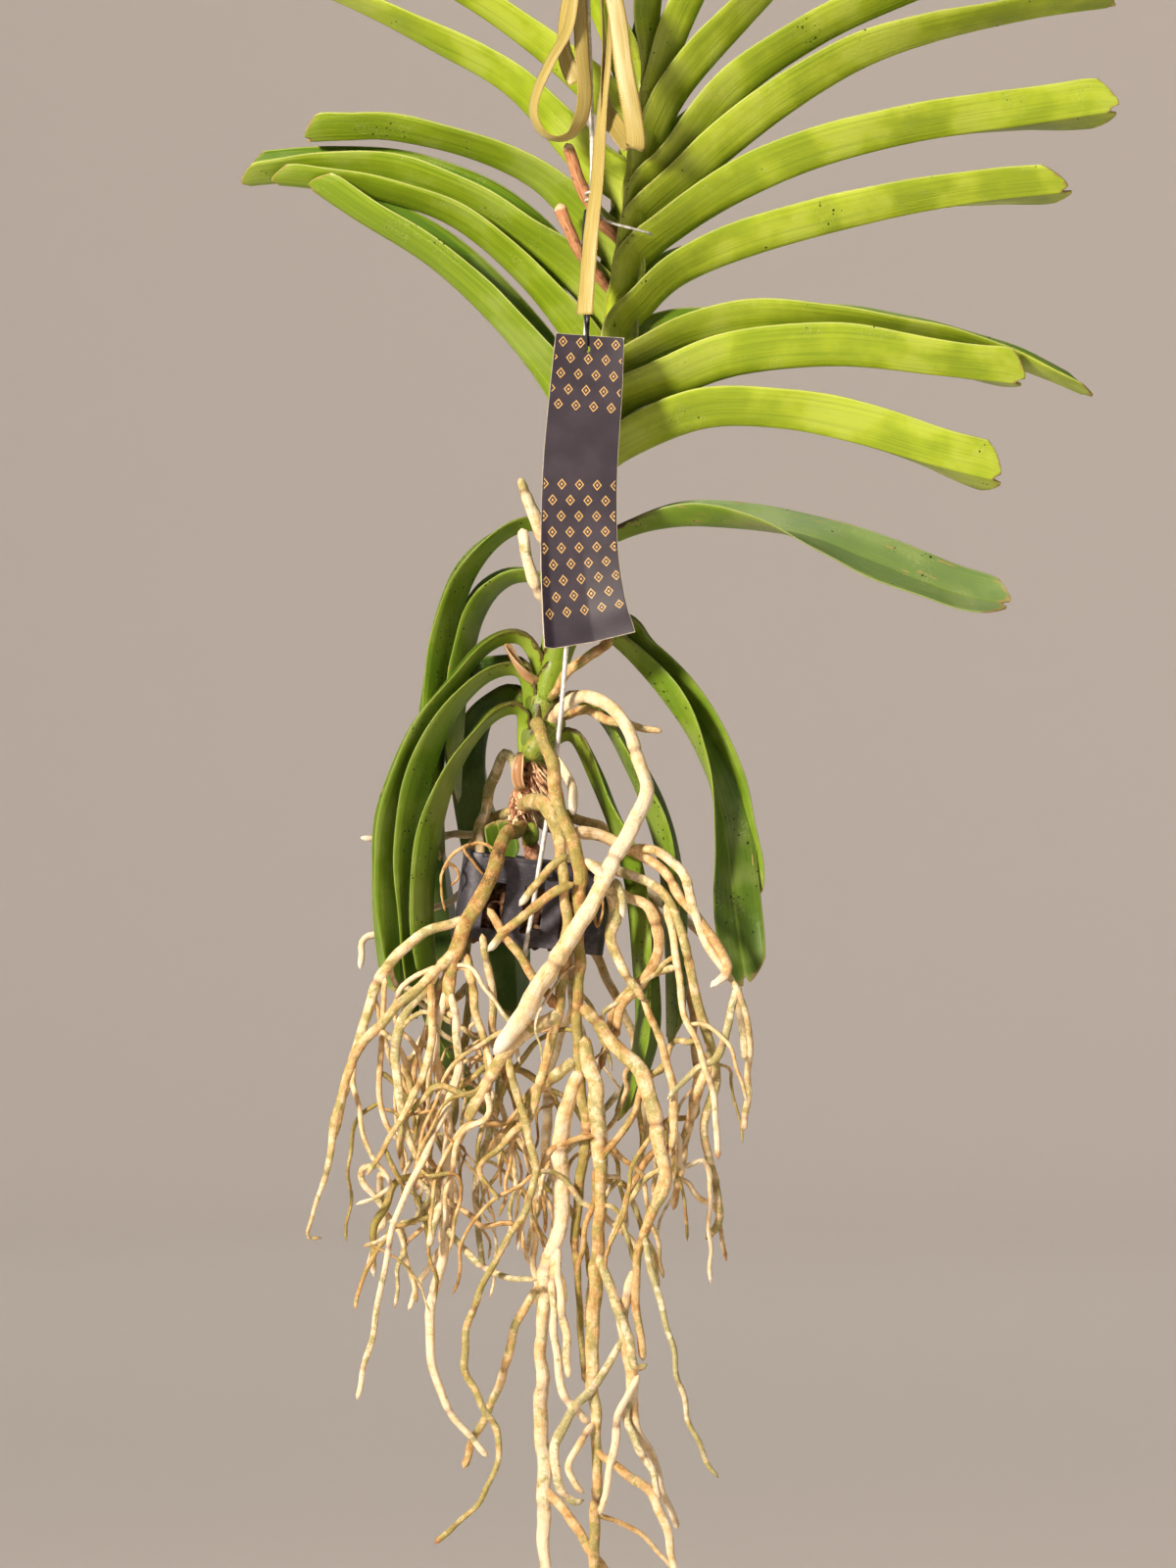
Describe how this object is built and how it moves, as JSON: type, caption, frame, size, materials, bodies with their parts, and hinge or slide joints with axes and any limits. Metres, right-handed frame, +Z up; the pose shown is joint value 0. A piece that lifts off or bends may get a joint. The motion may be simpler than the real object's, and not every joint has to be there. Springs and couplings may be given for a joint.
{
  "type": "vanda orchid in a hanging net basket",
  "caption": "Strap-leaved orchid with long bare aerial roots, growing in a slatted net basket that hangs on a hooked wire, with a ribbon bow and a card tag.",
  "frame": {"origin": "the point at the top inside of the hanger's hook, where it bears on the rail that carries it", "axes": "+Z up along the hanger; +X to the right seen from the front, along the leaf fan; +Y towards the back"},
  "size_m": [0.4668, 0.1574, 1.0365],
  "materials": {
    "leaf_fresh": "waxy fresh leaf, semi-gloss",
    "leaf_old": "waxy old leaf with dark spots, semi-gloss",
    "stem_green": "leaf sheaths round the stem, satin",
    "root_tan": "dry papery aerial root, matte",
    "root_white": "fresh white aerial root, matte",
    "dry_stem": "dried cut stem, matte",
    "galvanised_wire": "galvanised, satin",
    "bright_wire": "drawn bright wire",
    "basket_plastic": "moulded, satin",
    "bark": "rough bark chips, matte",
    "ribbon_satin": "woven satin ribbon",
    "tag_card": "dark printed card, satin",
    "tag_cord": "black cord"
  },
  "bodies": {
    "root": {"leaf_right_01": "leaf_fresh", "leaf_right_02": "leaf_fresh", "leaf_right_03": "leaf_fresh", "leaf_right_04": "leaf_fresh", "leaf_right_05": "leaf_fresh", "leaf_right_06": "leaf_fresh", "leaf_right_07": "leaf_fresh", "leaf_right_08": "leaf_fresh", "leaf_right_09": "leaf_fresh", "leaf_right_10": "leaf_fresh", "leaf_right_11": "leaf_old", "leaf_right_12": "leaf_old", "leaf_right_13": "leaf_old", "leaf_right_14": "leaf_old", "leaf_right_15": "leaf_old", "leaf_left_01": "leaf_fresh", "leaf_left_02": "leaf_fresh", "leaf_left_03": "leaf_fresh", "leaf_left_04": "leaf_fresh", "leaf_left_05": "leaf_fresh", "leaf_left_06": "leaf_fresh", "leaf_left_07": "leaf_fresh", "leaf_left_08": "leaf_old", "leaf_left_09": "leaf_old", "leaf_left_10": "leaf_old", "leaf_left_11": "leaf_old", "leaf_left_12": "leaf_old", "leaf_left_13": "leaf_old", "leaf_left_14": "leaf_old", "leaf_stub": "leaf_old", "stem": "stem_green", "old_stem_and_roots": "root_tan", "root_arch": "root_white", "root_tan": "root_tan", "root_side": "root_tan", "stub_white": "root_white", "stub_pale": "root_white", "stub_dry": "dry_stem", "flower_stem_upper": "dry_stem", "flower_stem_lower": "dry_stem", "hanger_wire": "galvanised_wire", "tie_wire": "bright_wire", "basket": "basket_plastic", "bark": "bark", "ribbon_bow": "ribbon_satin", "tag": "tag_card", "tag_string": "tag_cord"}
  },
  "joints": []
}
